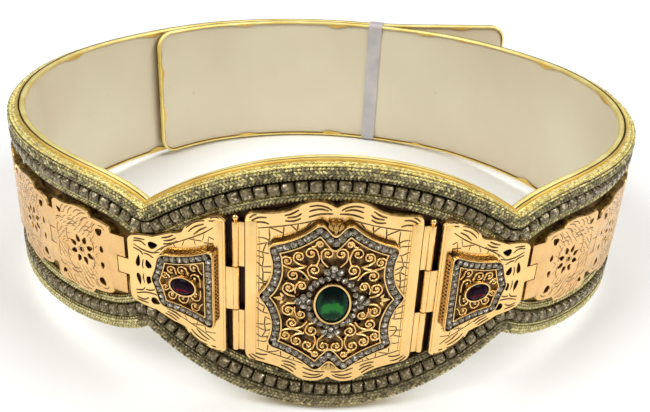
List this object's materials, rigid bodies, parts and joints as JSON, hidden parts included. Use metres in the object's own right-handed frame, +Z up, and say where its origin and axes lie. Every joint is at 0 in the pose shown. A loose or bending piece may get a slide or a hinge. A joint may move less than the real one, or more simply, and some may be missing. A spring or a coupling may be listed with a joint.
{
  "type": "rhinestone caftan belt",
  "caption": "Stiff dress belt closed into a loop: tall front with hinged engraved gold plates, pierced medallions with coloured stones, and braid and stone chain along both edges.",
  "frame": {"origin": "on the floor, under the middle of the loop's box in plan", "axes": "+Z up; -Y towards the viewer, where the tall front faces; +X to the right as the front is seen, which is the wearer's left"},
  "size_m": [0.2522, 0.2226, 0.0949],
  "materials": {
    "band_cloth": "satin metallic weave",
    "lining_sheet": "glossy, cream, faintly uneven",
    "piping_cloth": "bright metallic gold cloth",
    "braid_thread": "olive gold metallic thread, plaited",
    "chain_stones": "cut and foiled, in metal cups",
    "strip_film": "translucent",
    "plate_gold": "polished gold plating, engraved",
    "link_gold": "polished rose gold plating, engraved",
    "filigree_gold": "polished wire work",
    "green_stone": "cut and polished",
    "red_stone": "cut and polished",
    "clear_stones": "cut and foiled, bead set"
  },
  "bodies": {
    "root": {"band": "band_cloth", "lining": "lining_sheet", "top_piping": "piping_cloth", "bottom_piping": "piping_cloth", "upper_outer_braid": "braid_thread", "upper_inner_braid": "braid_thread", "lower_inner_braid": "braid_thread", "lower_outer_braid": "braid_thread", "upper_stone_chain": "chain_stones", "lower_stone_chain": "chain_stones", "holding_strip": "strip_film", "center_plate": "plate_gold", "center_medallion": "filigree_gold", "emerald": "green_stone", "flower_stones": "clear_stones", "center_pave": "clear_stones", "right_side_plate": "plate_gold", "right_side_medallion": "filigree_gold", "right_garnet": "red_stone", "right_side_pave": "clear_stones", "right_link_plate_1": "link_gold", "right_link_plate_2": "link_gold", "right_link_plate_3": "link_gold", "right_hinge_pin": "plate_gold", "right_link_pins": "link_gold", "left_side_plate": "plate_gold", "left_side_medallion": "filigree_gold", "left_garnet": "red_stone", "left_side_pave": "clear_stones", "left_link_plate_1": "link_gold", "left_link_plate_2": "link_gold", "left_link_plate_3": "link_gold", "left_hinge_pin": "plate_gold", "left_link_pins": "link_gold"}
  },
  "joints": []
}
